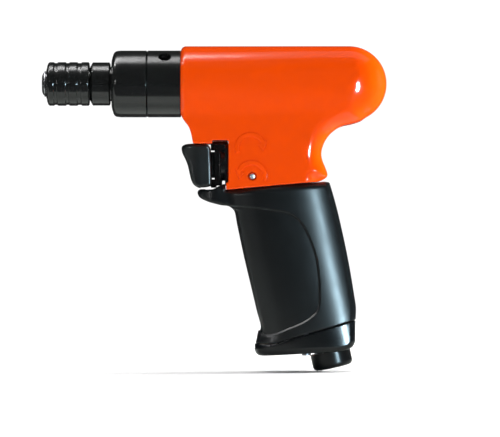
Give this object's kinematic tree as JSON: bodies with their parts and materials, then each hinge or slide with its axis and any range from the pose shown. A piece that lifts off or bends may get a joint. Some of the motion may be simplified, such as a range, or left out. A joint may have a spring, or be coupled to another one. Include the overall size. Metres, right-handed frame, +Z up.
{
  "type": "pistol-grip pneumatic screwdriver",
  "caption": "Pistol-grip reversible air tool with quick-change hex chuck, ball clutch, planetary gears, vane motor, trigger and reverse lever.",
  "frame": {"origin": "centre of the bit socket's mouth, on the spindle axis", "axes": "+X along the spindle axis to the rear of the tool, -X out of the bit socket, +Z up, away from the handle, +Y across the tool"},
  "size_m": [0.1755, 0.0384, 0.1654],
  "materials": {
    "black_oxide_steel": "black oxide, semi-gloss",
    "spindle_steel": "dark hardened steel, satin",
    "bearing_steel": "ground",
    "machined_steel": "turned and hardened",
    "gear_steel": "case-hardened, oiled",
    "spring_steel": "drawn wire",
    "orange_paint": "gloss orange coating on a cast aluminium housing",
    "vane_laminate": "phenolic laminate",
    "trigger_plastic": "black moulded plastic, satin",
    "lever_plastic": "black moulded plastic, semi-gloss",
    "grip_plastic": "black moulded composite, satin",
    "cap_plastic": "black moulded plastic, gloss",
    "pin_steel": "bright dowel steel",
    "valve_brass": "turned brass",
    "rubber": "nitrile rubber",
    "felt": "pressed felt",
    "inlet_steel": "black oxide",
    "screw_steel": "zinc plated, dark",
    "screen_steel": "stainless mesh"
  },
  "bodies": {
    "housing": {"nose_housing": "black_oxide_steel", "front_seal": "felt", "front_bearing_outer": "bearing_steel", "bearing_circlip": "spring_steel", "clutch_housing": "black_oxide_steel", "gear_bearing_outer": "bearing_steel", "ring_gear": "gear_steel", "front_end_plate": "machined_steel", "motor_cylinder": "machined_steel", "rear_end_plate": "machined_steel", "rotor_bearing_outers": "bearing_steel", "motor_dowel": "pin_steel", "wave_washer": "spring_steel", "motor_housing": "orange_paint", "valve_sleeve": "valve_brass", "reverse_pin": "pin_steel", "throttle_seat": "rubber", "throttle_spring": "spring_steel", "grip": "grip_plastic", "exhaust_cap": "cap_plastic", "cap_screws": "screw_steel", "muffler": "felt", "inlet_bushing": "inlet_steel", "inlet_screen": "screen_steel"},
    "rotor_assembly": {"rotor": "gear_steel", "rotor_vanes": "vane_laminate", "rotor_bearing_inners": "bearing_steel"},
    "rotor_balls": {"rotor_bearing_balls": "bearing_steel"},
    "input_carrier": {"input_carrier": "gear_steel", "input_planet_pins": "bearing_steel"},
    "input_planet_1": {"input_planet_1": "gear_steel"},
    "input_planet_2": {"input_planet_2": "gear_steel"},
    "input_planet_3": {"input_planet_3": "gear_steel"},
    "output_drive": {"output_carrier": "machined_steel", "output_planet_pins": "bearing_steel", "gear_bearing_inner": "bearing_steel", "clutch_driver": "machined_steel", "clutch_spring": "spring_steel"},
    "output_planet_1": {"output_planet_1": "gear_steel"},
    "output_planet_2": {"output_planet_2": "gear_steel"},
    "output_planet_3": {"output_planet_3": "gear_steel"},
    "gear_balls": {"gear_bearing_balls": "bearing_steel"},
    "clutch_cam": {"clutch_cam": "machined_steel"},
    "thrust_washer": {"clutch_thrust_washer": "machined_steel"},
    "adjusting_nut": {"clutch_nut": "machined_steel"},
    "spindle": {"output_spindle": "spindle_steel", "chuck_collar": "black_oxide_steel", "front_bearing_inner": "bearing_steel", "clutch_balls": "bearing_steel", "sleeve_retainer": "spindle_steel", "retainer_clip": "spring_steel", "detent_ball": "bearing_steel", "sleeve_spring": "spring_steel"},
    "front_balls": {"front_bearing_balls": "bearing_steel"},
    "chuck_sleeve": {"chuck_sleeve": "black_oxide_steel"},
    "trigger": {"trigger": "trigger_plastic", "trigger_stem": "pin_steel"},
    "throttle_valve": {"throttle_valve": "valve_brass"},
    "reverse_lever": {"reverse_lever": "lever_plastic", "reverse_valve": "machined_steel"}
  },
  "joints": [
    {"name": "rotor_spin", "type": "hinge", "parent": "housing", "child": "rotor_assembly", "pos_m": [0, 0, 0], "axis": [1, 0, 0], "continuous": true},
    {"name": "rotor_balls_spin", "type": "hinge", "parent": "housing", "child": "rotor_balls", "pos_m": [0, 0, 0], "axis": [1, 0, 0], "continuous": true},
    {"name": "input_carrier_spin", "type": "hinge", "parent": "housing", "child": "input_carrier", "pos_m": [0, 0, 0], "axis": [1, 0, 0], "continuous": true},
    {"name": "input_planet_1_spin", "type": "hinge", "parent": "input_carrier", "child": "input_planet_1", "pos_m": [0.0862, 0.0081, 0], "axis": [1, 0, 0], "continuous": true},
    {"name": "input_planet_2_spin", "type": "hinge", "parent": "input_carrier", "child": "input_planet_2", "pos_m": [0.0862, -0.00405, 0.00701], "axis": [1, 0, 0], "continuous": true},
    {"name": "input_planet_3_spin", "type": "hinge", "parent": "input_carrier", "child": "input_planet_3", "pos_m": [0.0862, -0.00405, -0.00701], "axis": [1, 0, 0], "continuous": true},
    {"name": "output_drive_spin", "type": "hinge", "parent": "housing", "child": "output_drive", "pos_m": [0, 0, 0], "axis": [1, 0, 0], "continuous": true},
    {"name": "output_planet_1_spin", "type": "hinge", "parent": "output_drive", "child": "output_planet_1", "pos_m": [0.0787, 0.0081, 0], "axis": [1, 0, 0], "continuous": true},
    {"name": "output_planet_2_spin", "type": "hinge", "parent": "output_drive", "child": "output_planet_2", "pos_m": [0.0787, -0.00405, 0.00701], "axis": [1, 0, 0], "continuous": true},
    {"name": "output_planet_3_spin", "type": "hinge", "parent": "output_drive", "child": "output_planet_3", "pos_m": [0.0787, -0.00405, -0.00701], "axis": [1, 0, 0], "continuous": true},
    {"name": "gear_balls_spin", "type": "hinge", "parent": "housing", "child": "gear_balls", "pos_m": [0, 0, 0], "axis": [1, 0, 0], "continuous": true},
    {"name": "clutch_release", "type": "slide", "parent": "output_drive", "child": "clutch_cam", "axis": [1, 0, 0], "range_m": [0, 0.0017], "stiffness_N_per_m": 20000, "springref_m": -0.003, "deforming": ["clutch_spring"]},
    {"name": "washer_advance", "type": "slide", "parent": "output_drive", "child": "thrust_washer", "axis": [1, 0, 0], "range_m": [0, 0.00075]},
    {"name": "nut_turn", "type": "hinge", "parent": "thrust_washer", "child": "adjusting_nut", "pos_m": [0.0634, 0, 0], "axis": [1, 0, 0], "range_deg": [0, 270]},
    {"name": "spindle_spin", "type": "hinge", "parent": "housing", "child": "spindle", "pos_m": [0, 0, 0], "axis": [1, 0, 0], "continuous": true},
    {"name": "front_balls_spin", "type": "hinge", "parent": "housing", "child": "front_balls", "pos_m": [0, 0, 0], "axis": [1, 0, 0], "continuous": true},
    {"name": "sleeve_slide", "type": "slide", "parent": "spindle", "child": "chuck_sleeve", "axis": [-1, 0, 0], "range_m": [0, 0.0035], "stiffness_N_per_m": 2000, "springref_m": -0.003, "deforming": ["sleeve_spring"]},
    {"name": "trigger_slide", "type": "slide", "parent": "housing", "child": "trigger", "axis": [1, 0, 0], "range_m": [0, 0.0045], "stiffness_N_per_m": 1200, "springref_m": -0.004},
    {"name": "throttle_slide", "type": "slide", "parent": "housing", "child": "throttle_valve", "axis": [1, 0, 0], "range_m": [0, 0.0045], "deforming": ["throttle_spring"]},
    {"name": "reverse_turn", "type": "hinge", "parent": "housing", "child": "reverse_lever", "pos_m": [0.092, 0, -0.0413], "axis": [1, 0, 0], "range_deg": [-18, 18]}
  ],
  "couplings": [
    {"joint": "rotor_balls_spin", "follows": "rotor_spin", "ratio": 0.4},
    {"joint": "input_carrier_spin", "follows": "rotor_spin", "ratio": 0.22222},
    {"joint": "input_planet_1_spin", "follows": "rotor_spin", "ratio": -0.62222},
    {"joint": "input_planet_2_spin", "follows": "rotor_spin", "ratio": -0.62222},
    {"joint": "input_planet_3_spin", "follows": "rotor_spin", "ratio": -0.62222},
    {"joint": "output_drive_spin", "follows": "rotor_spin", "ratio": 0.049383},
    {"joint": "output_planet_1_spin", "follows": "rotor_spin", "ratio": -0.13827},
    {"joint": "output_planet_2_spin", "follows": "rotor_spin", "ratio": -0.13827},
    {"joint": "output_planet_3_spin", "follows": "rotor_spin", "ratio": -0.13827},
    {"joint": "gear_balls_spin", "follows": "rotor_spin", "ratio": 0.020302},
    {"joint": "spindle_spin", "follows": "rotor_spin", "ratio": 0.049383},
    {"joint": "front_balls_spin", "follows": "rotor_spin", "ratio": 0.021637},
    {"joint": "nut_turn", "follows": "washer_advance", "rad_per_m": 6283.2},
    {"joint": "throttle_slide", "follows": "trigger_slide", "ratio": 1}
  ]
}
